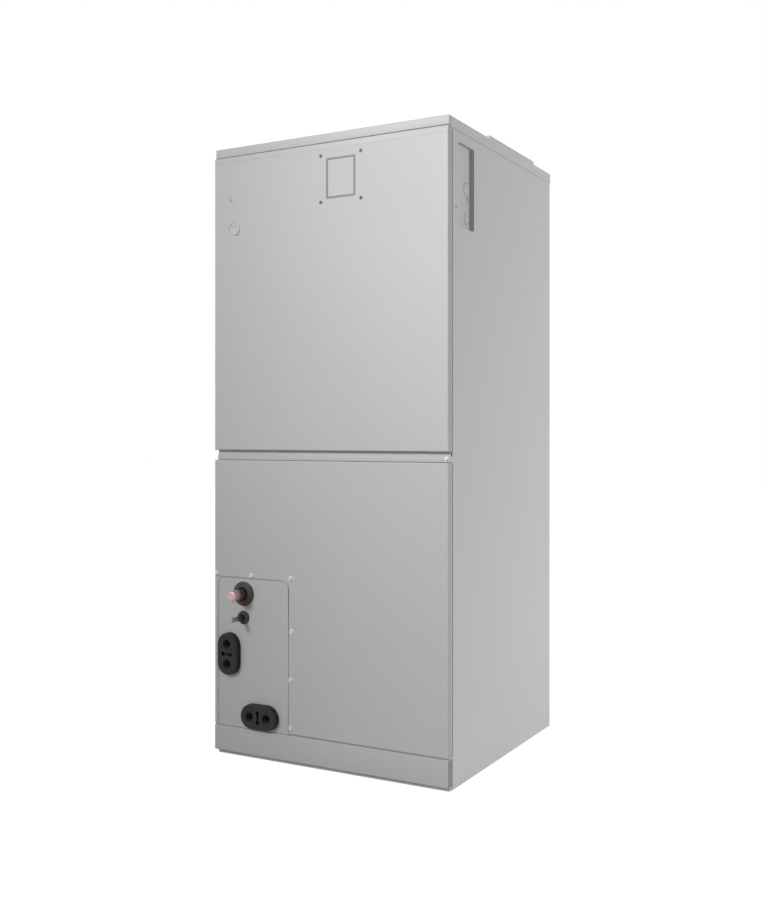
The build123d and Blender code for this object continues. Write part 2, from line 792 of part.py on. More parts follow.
nodes = {
    "base_frame": base_frame(),
    "side_panel_left": side_panel_left(),
    "side_panel_right": side_panel_right(),
    "back_panel": back_panel(),
    "top_cap": top_cap(),
    "supply_collar": supply_collar(),
    "centre_rail": centre_rail(),
    "header_rail": header_rail(),
    "upper_door": upper_door(),
    "lower_door": lower_door(),
    "filter_door": filter_door(),
    "pipe_plate": pipe_plate(),
    "wiring_recess": wiring_recess(),
    "suction_grommet": grommet(suction_z, suction_radius, suction_grommet_radius),
    "liquid_grommet": grommet(liquid_z, liquid_radius, liquid_grommet_radius),
    "suction_line": pipe_stub(suction_z, suction_radius, suction_reach),
    "liquid_line": pipe_stub(liquid_z, liquid_radius, liquid_reach),
    "drain_boss_side": drain_boss(side_boss_x, side_boss_z, 90),
    "drain_boss_lower": drain_boss(lower_boss_x, lower_boss_z, 0),
    "liner_left": side_liner(-1),
    "liner_right": liner_right(),
    "liner_back": liner_back(),
    "liner_upper_door": liner_upper_door(),
    "liner_lower_door": liner_lower_door(),
    "blower_deck": blower_deck(),
    "heater_blank_plate": heater_blank_plate(),
    "blower_housing": blower_housing(),
    "blower_wheel": blower_wheel(),
    "blower_motor": blower_motor(),
    "motor_bracket": motor_bracket(),
    "coil_slab_left": coil_slab(-1),
    "coil_slab_right": coil_slab(1),
    "coil_end_plate_front": coil_front_plate(),
    "coil_end_plate_back": coil_end_plate(coil_back_y, coil_back_y + coil_plate),
    "coil_apex_strip": coil_apex_strip(),
    "drain_pan": drain_pan(),
    "side_drain_pan": side_drain_pan(),
    "coil_rail_left": coil_shelf(-1, left_shelf_width),
    "coil_rail_right": coil_shelf(1, right_shelf_width),
    "filter_rail_left": filter_rail(-1),
    "filter_rail_right": filter_rail(1),
    "filter_stop": filter_stop(),
}

for name, shape in nodes.items():
    export_step(shape, os.path.join("parts", name + ".step"))
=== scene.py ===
import json
import bmesh
import bpy
from math import cos, pi, radians, sin
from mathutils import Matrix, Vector, noise


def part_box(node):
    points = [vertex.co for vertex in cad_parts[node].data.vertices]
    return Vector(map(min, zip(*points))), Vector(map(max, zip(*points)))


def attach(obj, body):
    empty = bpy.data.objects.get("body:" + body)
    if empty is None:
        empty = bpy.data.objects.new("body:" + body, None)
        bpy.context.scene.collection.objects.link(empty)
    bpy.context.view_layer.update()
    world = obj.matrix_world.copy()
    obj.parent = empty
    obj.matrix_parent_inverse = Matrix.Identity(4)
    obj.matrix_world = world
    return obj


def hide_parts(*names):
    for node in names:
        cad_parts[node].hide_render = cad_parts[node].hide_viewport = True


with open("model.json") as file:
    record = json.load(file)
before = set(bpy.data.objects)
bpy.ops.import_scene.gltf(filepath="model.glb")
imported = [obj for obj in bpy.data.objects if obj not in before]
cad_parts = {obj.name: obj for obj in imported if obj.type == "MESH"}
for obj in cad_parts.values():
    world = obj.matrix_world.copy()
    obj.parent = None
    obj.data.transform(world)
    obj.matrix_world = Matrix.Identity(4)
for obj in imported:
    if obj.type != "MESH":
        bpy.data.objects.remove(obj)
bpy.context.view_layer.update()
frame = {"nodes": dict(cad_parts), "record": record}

# Camera of the photograph, fitted to the cabinet's edges
camera_place = (1.12883, -2.07837, 0.65771)
camera_turn = (radians(90), 0, radians(28.92))
camera_lens = 43.53
camera_shift = -0.0203

# Light levels, and the lamps' size
world_fill = 0.3
floor_tone = (0.5, 0.5, 0.5)
floor_glow = 0.82
lamp_size = 1.2

# Tones, in linear colour
paint_tone = (0.5, 0.5, 0.497)
steel_tone = (0.6, 0.61, 0.61)
rubber_tone = (0.014, 0.014, 0.013)
foam_tone = (0.13, 0.13, 0.13)
plastic_tone = (0.012, 0.012, 0.013)
# The copper tones are lit and shaded copies of one copper: painted highlights at the free end, painted shade
# beside the plate
copper_bright = (0.56, 0.39, 0.385)
copper_pale = (0.33, 0.315, 0.295)
copper_dark = (0.11, 0.06, 0.03)
foil_tone = (0.62, 0.63, 0.64)
motor_tone = (0.05, 0.05, 0.055)
fin_tone = (0.7, 0.71, 0.72)
zinc_tone = (0.7, 0.7, 0.69)

# Where the copper turns from painted shade beside the plate to a painted highlight at the free end, along Y
copper_shade_y = -0.280
copper_highlight_y = -0.304


class Shader:
    """A material's node tree, with short ways to add and join nodes."""

    def __init__(self, name):
        self.material = bpy.data.materials.new(name)
        self.material.use_nodes = True
        self.tree = self.material.node_tree
        self.surface = self.tree.nodes["Principled BSDF"]
        self.place = self.node("ShaderNodeTexCoord").outputs["Object"]

    def node(self, kind, **settings):
        """A new node with its settings."""
        made = self.tree.nodes.new(kind)
        for key, value in settings.items():
            setattr(made, key, value)
        return made

    def join(self, source, target):
        self.tree.links.new(source, target)

    def stretched(self, scale):
        """The object's own coordinates, scaled along each axis."""
        mapping = self.node("ShaderNodeMapping")
        mapping.inputs["Scale"].default_value = scale
        self.join(self.place, mapping.inputs["Vector"])
        return mapping.outputs["Vector"]

    def noise(self, scale, detail=2.0, stretch=None):
        """Cloudy levels from 0 to 1."""
        texture = self.node("ShaderNodeTexNoise")
        texture.inputs["Scale"].default_value = scale
        texture.inputs["Detail"].default_value = detail
        self.join(self.stretched(stretch) if stretch else self.place, texture.inputs["Vector"])
        return texture.outputs["Fac"]

    def cells(self, scale):
        """The outputs of a pattern of cells."""
        texture = self.node("ShaderNodeTexVoronoi")
        texture.inputs["Scale"].default_value = scale
        self.join(self.place, texture.inputs["Vector"])
        return texture.outputs

    def part(self, vector, axis):
        """One coordinate of a vector."""
        split = self.node("ShaderNodeSeparateXYZ")
        self.join(vector, split.inputs["Vector"])
        return split.outputs[axis]

    def shaded_ends(self, tone, share):
        """A tone that falls to a share of itself on faces that look along X, as painted shade."""
        normal = self.node("ShaderNodeNewGeometry").outputs["Normal"]
        across = self.node("ShaderNodeMath", operation="ABSOLUTE")
        self.join(self.part(normal, "X"), across.inputs[0])
        level = self.span(across.outputs[0], 0.6, 0.95, 1.0, share)
        shaded = self.node("ShaderNodeVectorMath", operation="SCALE")
        self.join(tone, shaded.inputs[0])
        self.join(level, shaded.inputs["Scale"])
        return shaded.outputs["Vector"]

    def ramp(self, value, stops):
        """Colours or levels spread over a value from 0 to 1."""
        ramp = self.node("ShaderNodeValToRGB")
        elements = ramp.color_ramp.elements
        while len(elements) < len(stops):
            elements.new(0.5)
        for element, (place, tone) in zip(elements, stops):
            element.position = place
            level = tone if isinstance(tone, tuple) else (tone, tone, tone)
            element.color = (*level, 1)
        self.join(value, ramp.inputs["Fac"])
        return ramp.outputs["Color"]

    def span(self, value, low, high, to_low, to_high):
        """A value moved from one range into another."""
        spread = self.node("ShaderNodeMapRange")
        for name, number in (("From Min", low), ("From Max", high), ("To Min", to_low), ("To Max", to_high)):
            spread.inputs[name].default_value = number
        self.join(value, spread.inputs["Value"])
        return spread.outputs["Result"]

    def bump(self, height, strength, distance, below=None):
        """Normals tilted by a height, over other normals if any are given."""
        node = self.node("ShaderNodeBump")
        node.inputs["Strength"].default_value = strength
        node.inputs["Distance"].default_value = distance
        self.join(height, node.inputs["Height"])
        if below:
            self.join(below, node.inputs["Normal"])
        return node.outputs["Normal"]

    def soft_edges(self, radius):
        """Normals rounded over sharp edges."""
        node = self.node("ShaderNodeBevel", samples=4)
        node.inputs["Radius"].default_value = radius
        return node.outputs["Normal"]

    def set(self, **values):
        """Plain values or outputs given to the surface's sockets, with underscores for spaces."""
        for key, value in values.items():
            socket = self.surface.inputs[key.replace("_", " ")]
            if isinstance(value, bpy.types.NodeSocket):
                self.join(value, socket)
            else:
                socket.default_value = value


def near(tone, share):
    """A tone made a little darker or lighter."""
    return tuple(channel * share for channel in tone)


def cabinet_paint(name, share=1.0, end_shade_share=None):
    """Light grey satin paint with a fine orange peel and faint cloudiness.

    A share darkens or lightens all of it, which some copies use as painted shade or painted light, and an end
    share darkens the returns at a door's ends as painted shade.
    """
    shader = Shader(name)
    clouds = shader.noise(3.0, 3.0)
    stops = ((0.3, near(paint_tone, 0.985 * share)), (0.7, near(paint_tone, 1.015 * share)))
    tone = shader.ramp(clouds, stops)
    if end_shade_share:
        tone = shader.shaded_ends(tone, end_shade_share)
    edges = shader.soft_edges(0.0006)
    peel = shader.bump(shader.noise(900.0, 1.0), 0.06, 0.0004, edges)
    shader.set(Base_Color=tone, Roughness=shader.span(clouds, 0.3, 0.7, 0.44, 0.52), Normal=peel)
    return shader.material


def galvanised_steel():
    """Zinc-coated steel with crystal spangles."""
    shader = Shader("galvanised_steel")
    spangle = shader.cells(140.0)["Color"]
    tone = shader.ramp(spangle, ((0.0, near(steel_tone, 0.82)), (1.0, near(steel_tone, 1.1))))
    rough = shader.span(spangle, 0.0, 1.0, 0.32, 0.52)
    skin = shader.bump(shader.noise(400.0), 0.1, 0.0003)
    shader.set(Base_Color=tone, Metallic=0.9, Roughness=rough, Normal=skin)
    return shader.material


def black_rubber():
    """Matt black rubber with a fine skin and a trace of dust."""
    shader = Shader("black_rubber")
    dust = shader.ramp(shader.noise(60.0, 4.0), ((0.45, rubber_tone), (0.8, near(rubber_tone, 2.2))))
    skin = shader.bump(shader.noise(1500.0), 0.15, 0.0003)
    shader.set(Base_Color=dust, Roughness=0.62, Normal=skin)
    return shader.material


def seal_foam():
    """Dark closed-cell seal stock with small pores; the same material lies on the knock-outs' cut lines as
    painted shade.
    """
    shader = Shader("seal_foam")
    pores = shader.cells(900.0)["Distance"]
    tone = shader.ramp(pores, ((0.0, near(foam_tone, 0.6)), (0.5, foam_tone)))
    shader.set(Base_Color=tone, Roughness=0.85, Normal=shader.bump(pores, 0.4, 0.0004))
    return shader.material


def moulded_plastic():
    """Black moulded plastic with a fine spark-eroded grain."""
    shader = Shader("moulded_plastic")
    stops = ((0.35, near(plastic_tone, 0.85)), (0.75, near(plastic_tone, 1.35)))
    tone = shader.ramp(shader.noise(25.0, 3.0), stops)
    edges = shader.soft_edges(0.0008)
    grain = shader.bump(shader.noise(1800.0, 3.0), 0.25, 0.0003, edges)
    shader.set(Base_Color=tone, Roughness=0.5, Specular_IOR_Level=0.28, Normal=grain)
    return shader.material


def copper_tube(name, lit_end_tone):
    """Drawn copper, dark beside the plate as painted shade and bright at the free end as a painted highlight.
    """
    shader = Shader(name)
    outward = shader.span(shader.part(shader.place, "Y"), copper_shade_y, copper_highlight_y, 0.0, 1.0)
    stops = ((0.3, copper_dark), (0.55, near(lit_end_tone, 0.5)), (0.72, lit_end_tone))
    rough = shader.span(shader.noise(220.0, 3.0, (1, 0.1, 1)), 0.3, 0.7, 0.34, 0.5)
    tone = shader.ramp(outward, stops)
    skin = shader.bump(shader.noise(500.0), 0.1, 0.0003)
    shader.set(Base_Color=tone, Metallic=0.5, Roughness=rough, Normal=skin)
    return shader.material


def foil_facing():
    """Crinkled foil over fibre board."""
    shader = Shader("foil_facing")
    crinkle = shader.noise(70.0, 5.0)
    tone = shader.ramp(shader.noise(15.0, 3.0), ((0.3, near(foil_tone, 0.9)), (0.7, near(foil_tone, 1.08))))
    shader.set(Base_Color=tone, Metallic=0.75, Roughness=0.38, Normal=shader.bump(crinkle, 0.5, 0.0012))
    return shader.material


def motor_enamel():
    """Semi-gloss black enamel."""
    shader = Shader("motor_enamel")
    tone = shader.ramp(shader.noise(30.0, 3.0), ((0.3, near(motor_tone, 0.8)), (0.7, near(motor_tone, 1.3))))
    skin = shader.bump(shader.noise(700.0), 0.12, 0.0003)
    shader.set(Base_Color=tone, Roughness=0.35, Normal=skin)
    return shader.material


def fin_stock():
    """Bright aluminium fin stock, lightly stained by condensate."""
    shader = Shader("fin_stock")
    stain = shader.noise(18.0, 4.0, (1, 1, 0.3))
    tone = shader.ramp(stain, ((0.35, near(fin_tone, 0.85)), (0.7, near(fin_tone, 1.05))))
    skin = shader.bump(shader.noise(300.0), 0.1, 0.0003)
    shader.set(Base_Color=tone, Metallic=0.85, Roughness=0.4, Normal=skin)
    return shader.material


def bright_zinc():
    """Zinc-plated screws with faint turning marks."""
    shader = Shader("bright_zinc")
    cloud = shader.noise(300.0, 3.0)
    tone = shader.ramp(cloud, ((0.3, near(zinc_tone, 0.88)), (0.7, near(zinc_tone, 1.05))))
    rough = shader.span(cloud, 0.3, 0.7, 0.48, 0.62)
    skin = shader.bump(shader.noise(2500.0), 0.1, 0.0001)
    shader.set(Base_Color=tone, Metallic=0.35, Roughness=rough, Normal=skin)
    return shader.material


materials = {
    "cabinet_metal": cabinet_paint("cabinet_paint"),
    "inner_steel": galvanised_steel(),
    "grommet_rubber": black_rubber(),
    "drain_plastic": moulded_plastic(),
    "copper": copper_tube("copper_tube", copper_bright),
    "insulation": foil_facing(),
    "motor_paint": motor_enamel(),
    "coil_fins": fin_stock(),
}
zinc = bright_zinc()
# Seal material for the door seals, also used as painted shade on the knock-outs' cut lines
foam_and_slot_shade = seal_foam()
# The liquid stub's copper, with a paler painted highlight at its free end
pale_copper = copper_tube("pale_copper", copper_pale)
shade_paint = cabinet_paint("shade_paint", 0.42)
# Darker paint as painted shade, for the strip in the seam and the cut-out's hem
rim_painted_shade = cabinet_paint("rim_painted_shade", 0.72)
# Lighter paint as painted light, for the stop leg that lies in the upper door's shade
painted_light_paint = cabinet_paint("painted_light_paint", 1.2)
# The doors' paint, with painted shade on their returns at the ends
door_shaded_returns_paint = cabinet_paint("door_paint_with_painted_shade", end_shade_share=0.73)
# The filter door's paint, with deep painted shade on its ends where the open end lies in shade
filter_door_shaded_ends_paint = cabinet_paint("filter_door_paint_with_painted_shade", end_shade_share=0.37)


def dress_nodes():
    """Each CAD node gets the material of its slot in the record, and the doors get their own paint with
    painted shade on their returns.
    """
    for entry in frame["record"]["subparts"]:
        node = frame["nodes"][entry["node"]]
        material = materials[entry["material_slot"]]
        if entry["node"] in ("upper_door", "lower_door"):
            material = door_shaded_returns_paint
        node.data.materials.clear()
        node.data.materials.append(material)


def add_piece(name, shapes, slot, material=None, stands_for=(), sharp=radians(35)):
    """One object from (points, faces) shapes in metres, riding on the cabinet."""
    points = []
    faces = []
    for shape_points, shape_faces in shapes:
        first = len(points)
        points.extend(shape_points)
        faces.extend([tuple(first + corner for corner in face) for face in shape_faces])
    mesh = bpy.data.meshes.new(name)
    mesh.from_pydata([tuple(point) for point in points], [], faces)
    mesh.validate()
    mesh.materials.append(material or materials[slot])
    mesh.shade_smooth()
    mesh.set_sharp_from_angle(angle=sharp)
    piece = bpy.data.objects.new(name, mesh)
    bpy.context.scene.collection.objects.link(piece)
    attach(piece, "root")
    for node in stands_for:
        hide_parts(node)
    return piece


def bands(rows, sides, closed=False):
    """Faces between rings of points in rows, and from the last row to the first if closed."""
    faces = []
    for row in range(rows if closed else rows - 1):
        low = row * sides
        high = (row + 1) % rows * sides
        for step in range(sides):
            after = (step + 1) % sides
            faces.append((low + step, low + after, high + after, high + step))
    return faces


def end_faces(rows, sides):
    """The faces that close the first and last ring."""
    return [tuple(reversed(range(sides))), tuple(range((rows - 1) * sides, rows * sides))]


def turned(profile, place, outward, sides=48):
    """A turned shape from (radius, height) pairs, its heights along the outward direction."""
    turn = Vector(outward).to_track_quat("Z", "Y").to_matrix()
    points = []
    faces = []
    rows = []
    for radius, height in profile:
        if radius == 0:
            rows.append([len(points)] * sides)
            points.append(Vector(place) + turn @ Vector((0, 0, height)))
            continue
        rows.append(list(range(len(points), len(points) + sides)))
        for step in range(sides):
            angle = 2 * pi * step / sides
            points.append(Vector(place) + turn @ Vector((radius * cos(angle), radius * sin(angle), height)))
    for low, high in zip(rows, rows[1:]):
        for step in range(sides):
            after = (step + 1) % sides
            corners = []
            for corner in (low[step], low[after], high[after], high[step]):
                if corner not in corners:
                    corners.append(corner)
            if len(corners) > 2:
                faces.append(tuple(corners))
    return points, faces


def arc(centre, radius, start, end, steps):
    """Points (radius, height) on an arc, from one angle to another in degrees."""
    angles = [radians(start + (end - start) * step / steps) for step in range(steps + 1)]
    return [(centre[0] + radius * cos(angle), centre[1] + radius * sin(angle)) for angle in angles]


def tube(path, radius, sides=12):
    """A round bar along a path of points, closed at both ends."""
    points = []
    last = len(path) - 1
    for index, place in enumerate(path):
        ahead = Vector(path[min(index + 1, last)]) - Vector(path[max(index - 1, 0)])
        turn = ahead.to_track_quat("Z", "Y").to_matrix()
        for step in range(sides):
            angle = 2 * pi * step / sides
            points.append(Vector(place) + turn @ Vector((radius * cos(angle), radius * sin(angle), 0)))
    return points, bands(len(path), sides) + end_faces(len(path), sides)


def stretched_cube(low, high):
    """A bmesh cube stretched between two corners."""
    form = bmesh.new()
    bmesh.ops.create_cube(form, size=1)
    for corner in form.verts:
        corner.co = Vector([low[k] + (corner.co[k] + 0.5) * (high[k] - low[k]) for k in range(3)])
    return form


def shape_of(form):
    """The (points, faces) of a bmesh, which is freed."""
    form.verts.index_update()
    points = [corner.co.copy() for corner in form.verts]
    faces = [tuple(corner.index for corner in face.verts) for face in form.faces]
    form.free()
    return points, faces


def eased_box(low, high, ease, picked=None):
    """A box with rounded edges, all of them or those whose middle passes a test."""
    form = stretched_cube(low, high)
    edges = []
    for edge in form.edges:
        if picked is None or picked((edge.verts[0].co + edge.verts[1].co) / 2):
            edges.append(edge)
    bmesh.ops.bevel(form, geom=edges, offset=ease, segments=3, affect="EDGES", profile=0.5)
    return shape_of(form)


def folded_tray(low, high, ease, sheet):
    """A shallow sheet tray that is open at the back, its front edges rounded."""
    form = stretched_cube(low, high)
    back = [face for face in form.faces if face.normal.y > 0.9]
    bmesh.ops.delete(form, geom=back, context="FACES_ONLY")
    edges = [edge for edge in form.edges if not edge.is_boundary]
    bmesh.ops.bevel(form, geom=edges, offset=ease, segments=4, affect="EDGES", profile=0.5)
    bmesh.ops.solidify(form, geom=form.faces[:], thickness=sheet)
    return shape_of(form)


# How far raised marks reach into the sheet that carries them, in metres as all lengths are
mark_root = 0.0002

# Hex washer-head screws
washer_radius = 0.0052
washer_height = 0.0009
head_radius = 0.0037
head_height = 0.0034


def screw_head(place, outward, scale=1.0):
    """A hex washer head: a domed washer and a chamfered hexagon with a shallow dish."""
    profile = (
        (washer_radius, -mark_root),
        (washer_radius, washer_height * 0.6),
        (head_radius, washer_height),
    )
    washer = turned([(radius * scale, height * scale) for radius, height in profile], place, outward, 24)
    turn = Vector(outward).to_track_quat("Z", "Y").to_matrix()
    points = []
    rings = (
        (head_radius, washer_height * 0.5),
        (head_radius, head_height * 0.85),
        (head_radius * 0.86, head_height),
        (head_radius * 0.55, head_height),
        (head_radius * 0.45, head_height * 0.82),
    )
    for radius, height in rings:
        for step in range(6):
            angle = 2 * pi * (step + 0.5) / 6
            corner = Vector((radius * cos(angle), radius * sin(angle), height)) * scale
            points.append(Vector(place) + turn @ corner)
    return washer, (points, bands(len(rings), 6) + end_faces(len(rings), 6)[1:])


def add_screws(name, places, outward, scale=1.0, material=None):
    """One piece with a screw head at each place."""
    heads = []
    for place in places:
        heads.extend(screw_head(place, outward, scale))
    add_piece(name, heads, "cabinet_metal", material or zinc)


# Rubber grommets, measured from the pipe and from the plate
suction_bore = 0.01084
liquid_bore = 0.00449
grommet_neck = 0.0028
grommet_seat = 0.001
grommet_rim = 0.0016
grommet_crown = 0.0042
grommet_mouth = 0.0012


def add_grommet(name, node, bore):
    """A rubber grommet with a rounded lip that hugs its pipe."""
    low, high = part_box(node)
    middle = ((low[0] + high[0]) / 2, high[1], (low[2] + high[2]) / 2)
    lip = (high[0] - low[0]) / 2
    depth = high[1] - low[1]
    neck = bore + grommet_neck
    seat = grommet_seat
    rim = grommet_rim
    profile = [(bore, 0), (neck, 0), (neck, seat), (lip - 0.0006, seat)]
    profile += arc((lip - rim, seat + rim), rim, -60, 60, 5)
    crown = bore + grommet_crown
    for step in range(1, 9):
        share = step / 8
        radius = lip - rim - (lip - rim - crown) * share
        height = seat + 2 * rim + (depth - seat - 2 * rim) * sin(share * pi / 2) ** 1.5
        profile.append((radius, height))
    profile += arc((crown - grommet_mouth, depth - grommet_mouth), grommet_mouth, 90, 180, 4)
    profile += [(bore + 0.0002, depth - 0.0035), (bore, depth - 0.0045), (bore, 0)]
    add_piece(name, [turned(profile, middle, (0, -1, 0), 64)], "grommet_rubber", stands_for=[node])


# Copper stubs: the lengths of their seats, and the waist behind them
suction_seat = 0.0353
liquid_seat = 0.0363
stub_waist = 0.0003


def add_stub(name, node, seat, material=None):
    """A copper stub with a spun round end."""
    low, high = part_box(node)
    middle_x = (low[0] + high[0]) / 2
    middle_z = (low[2] + high[2]) / 2
    radius = (high[0] - low[0]) / 2
    length = high[1] - low[1]
    shoulder = length - seat
    inner = radius - stub_waist
    profile = [(0, 0), (inner, 0), (inner, shoulder), (radius, shoulder)]
    bend = radius * 0.45
    profile += arc((radius - bend, length - bend), bend, 0, 80, 7)
    profile += [(radius * 0.3, length - 0.0001), (radius * 0.16, length - 0.0006), (0, length - 0.0008)]
    stub = turned(profile, (middle_x, high[1], middle_z), (0, -1, 0), 48)
    add_piece(name, [stub], "copper", material, [node])


# Condensate port threads
port_offset = 0.0203
port_depth = 0.002
port_radius = 0.00915
thread_height = 0.0009
thread_pitch = 0.0023
thread_turns = 9
thread_sides = 32


def thread(place):
    """The ridge of a pipe thread that winds inwards along +Y from a port's mouth."""
    points = []
    faces = []
    for step in range(thread_turns * thread_sides + 1):
        angle = 2 * pi * step / thread_sides
        depth = thread_pitch * step / thread_sides
        fade = min(1, step / thread_sides, (thread_turns * thread_sides - step) / thread_sides)
        across = Vector((cos(angle), 0, sin(angle)))
        start = Vector(place) + Vector((0, depth, 0))
        half = Vector((0, thread_pitch * 0.36, 0))
        points.append(start - half + across * port_radius)
        points.append(start + across * (port_radius - thread_height * fade))
        points.append(start + half + across * port_radius)
        if step:
            before = 3 * step - 3
            faces.append((before, before + 1, before + 4, before + 3))
            faces.append((before + 1, before + 2, before + 5, before + 4))
            faces.append((before + 2, before, before + 3, before + 5))
    return points, faces


def add_threads(name, node, across):
    """The threads in both ports of a drain block."""
    low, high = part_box(node)
    middle = Vector(((low[0] + high[0]) / 2, low[1] + port_depth, (low[2] + high[2]) / 2))
    ridges = [thread(middle + Vector(across) * port_offset * side) for side in (-1, 1)]
    add_piece(name, ridges, "drain_plastic")


# Knock-out blanks
blank_rim = 0.0009
blank_dish = 0.0001


def knockout_blank(place, radius, outward):
    """A pressed knock-out: a low rim round a shallow dish."""
    rim = blank_rim
    dish = blank_dish
    profile = [(0, dish)]
    profile += [(radius * 0.78 * step / 8, dish + (rim - dish) * (step / 8) ** 2) for step in range(1, 9)]
    profile += [(radius * 0.88, rim), (radius * 0.96, rim * 0.6), (radius, -mark_root)]
    return turned(profile, place, outward, 48)


def grid_marks(low, high, breaks, step):
    """Places from low to high that take in every break and lie about one step apart."""
    marks = sorted({low, high, *[value for value in breaks if low < value < high]})
    places = []
    for start, end in zip(marks, marks[1:]):
        count = max(1, round((end - start) / step))
        places += [start + (end - start) * index / count for index in range(count)]
    return places + [high]


# Foil-faced pads, held by pins with washers
pad_step = 0.013
pad_edge_drop = 0.003
pad_ripple = 0.0007
pin_pitch = 0.19
pin_margin = 0.045
pin_dent = 0.0026
pin_reach = 0.034
pin_sink = 0.0012
pin_washer = ((0.0145, 0), (0.0132, 0.0008), (0.004, 0.001), (0, 0.0014))


def pin_marks(low, high):
    """At least two places, evenly spread between the margins at two edges."""
    count = max(2, round((high - low) / pin_pitch) + 1)
    return [low + pin_margin + (high - low - 2 * pin_margin) * step / (count - 1) for step in range(count)]


def near_cut(u, v, cut):
    """Whether a place is in a cut or within a pin's margin of it."""
    beside = u < cut[0] - pin_margin or u > cut[1] + pin_margin
    above_or_below = v < cut[2] - pin_margin or v > cut[3] + pin_margin
    return not (beside or above_or_below)


def pin_places(u_range, v_range, cuts):
    """An even pattern of pins that stays off the edges and cuts."""
    places = [(u, v) for u in pin_marks(*u_range) for v in pin_marks(*v_range)]
    return [place for place in places if not any(near_cut(*place, cut) for cut in cuts)]


def add_pad(name, node, axis, outward, cuts=()):
    """A foil-faced pad with eased edges, dented round its pins. Cuts are (u low, u high, v low, v high)."""
    low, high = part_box(node)
    flat = 1 - axis
    back = low[axis] if outward > 0 else high[axis]
    thick = high[axis] - low[axis]
    u_marks = grid_marks(low[flat], high[flat], [value for cut in cuts for value in cut[:2]], pad_step)
    v_marks = grid_marks(low[2], high[2], [value for cut in cuts for value in cut[2:]], pad_step)
    pins = pin_places((low[flat], high[flat]), (low[2], high[2]), cuts)
    kept = set()
    for i in range(len(u_marks) - 1):
        for j in range(len(v_marks) - 1):
            u = (u_marks[i] + u_marks[i + 1]) / 2
            v = (v_marks[j] + v_marks[j + 1]) / 2
            if not any(cut[0] < u < cut[1] and cut[2] < v < cut[3] for cut in cuts):
                kept.add((i, j))
    points = []
    numbers = {}

    def corner(i, j, layer):
        key = (i, j, layer)
        if key not in numbers:
            u = u_marks[i]
            v = v_marks[j]
            height = 0
            if layer:
                around = sum((a, b) in kept for a in (i - 1, i) for b in (j - 1, j))
                height = thick - pad_ripple * (1 + noise.noise(Vector((u * 22, v * 22, back * 90))))
                height -= pad_edge_drop if around < 4 else 0
                for pin_u, pin_v in pins:
                    away = ((u - pin_u) ** 2 + (v - pin_v) ** 2) / pin_reach ** 2
                    if away < 6:
                        height -= pin_dent * 2.718 ** -away
            place = [0, 0, v]
            place[flat] = u
            place[axis] = back + outward * height
            numbers[key] = len(points)
            points.append(Vector(place))
        return numbers[key]

    faces = []
    turn = outward if axis == 0 else -outward
    for i, j in sorted(kept):
        loop = [(i, j), (i + 1, j), (i + 1, j + 1), (i, j + 1)]
        for layer, direction in ((1, turn), (0, -turn)):
            face = [corner(a, b, layer) for a, b in loop]
            faces.append(tuple(face if direction > 0 else reversed(face)))
        for step, beside in enumerate(((i, j - 1), (i + 1, j), (i, j + 1), (i - 1, j))):
            if beside not in kept:
                start = loop[step]
                end = loop[(step + 1) % 4]
                face = [corner(*start, 1), corner(*start, 0), corner(*end, 0), corner(*end, 1)]
                faces.append(tuple(face if turn > 0 else reversed(face)))
    add_piece(name, [(points, faces)], "insulation", stands_for=[node], sharp=radians(50))
    washers = []
    direction = [0, 0, 0]
    direction[axis] = outward
    for pin_u, pin_v in pins:
        place = [0, 0, pin_v]
        place[flat] = pin_u
        place[axis] = back + outward * (thick - pin_dent - pin_sink)
        washers.append(turned(pin_washer, place, direction, 20))
    if washers:
        add_piece(name + "_pins", washers, "inner_steel")


# Cuts in the pads: the room round other parts, the cut behind the breaker window as (x low, x high, z low),
# and a value past any edge
cut_gap = 0.001
window_cut = (-0.0215, 0.0945, 1.0973)
past = 2


def add_pads():
    """The pads on the walls and doors, cut round the deck, the recess, the window and the pipe plate."""
    deck_low, deck_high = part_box("blower_deck")
    deck_cut = (deck_low[1], past, deck_low[2], deck_high[2])
    low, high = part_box("wiring_recess")
    recess_cut = (low[1] - cut_gap, high[1] + cut_gap, low[2] - cut_gap, high[2] + cut_gap)
    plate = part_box("pipe_plate")[1]
    plate_cut = (-past, plate[0] + cut_gap, -past, plate[2] + cut_gap)
    add_pad("left_wall_pad", "liner_left", 0, 1, [deck_cut])
    add_pad("right_wall_pad", "liner_right", 0, -1, [deck_cut, recess_cut])
    add_pad("back_wall_pad", "liner_back", 1, -1, [(-past, past, deck_low[2], deck_high[2])])
    add_pad("upper_door_pad", "liner_upper_door", 1, 1, [(*window_cut, past)])
    add_pad("lower_door_pad", "liner_lower_door", 1, 1, [plate_cut])


# Foam strips behind the doors
seal_width = 0.01
seal_depth = 0.0025
seal_proud = 0.0003
seal_end_gap = 0.001


def ribbon(path, y_front, y_back, width, closed):
    """A strip with eased edges along a path of right-angled corners in (x, z)."""
    ease = 0.0006
    half = width / 2
    section = (
        (-half + ease, y_front),
        (half - ease, y_front),
        (half, y_front + ease),
        (half, y_back - ease),
        (half - ease, y_back),
        (-half + ease, y_back),
        (-half, y_back - ease),
        (-half, y_front + ease),
    )
    count = len(path)
    points = []
    for index, (x, z) in enumerate(path):
        offset = Vector((0, 0))
        if closed or index > 0:
            run = (Vector(path[index]) - Vector(path[index - 1])).normalized()
            offset += Vector((-run.y, run.x))
        if closed or index < count - 1:
            run = (Vector(path[(index + 1) % count]) - Vector(path[index])).normalized()
            offset += Vector((-run.y, run.x))
        points += [Vector((x + offset.x * across, y, z + offset.y * across)) for across, y in section]
    faces = bands(count, len(section), closed)
    if not closed:
        faces += end_faces(count, len(section))
    return points, faces


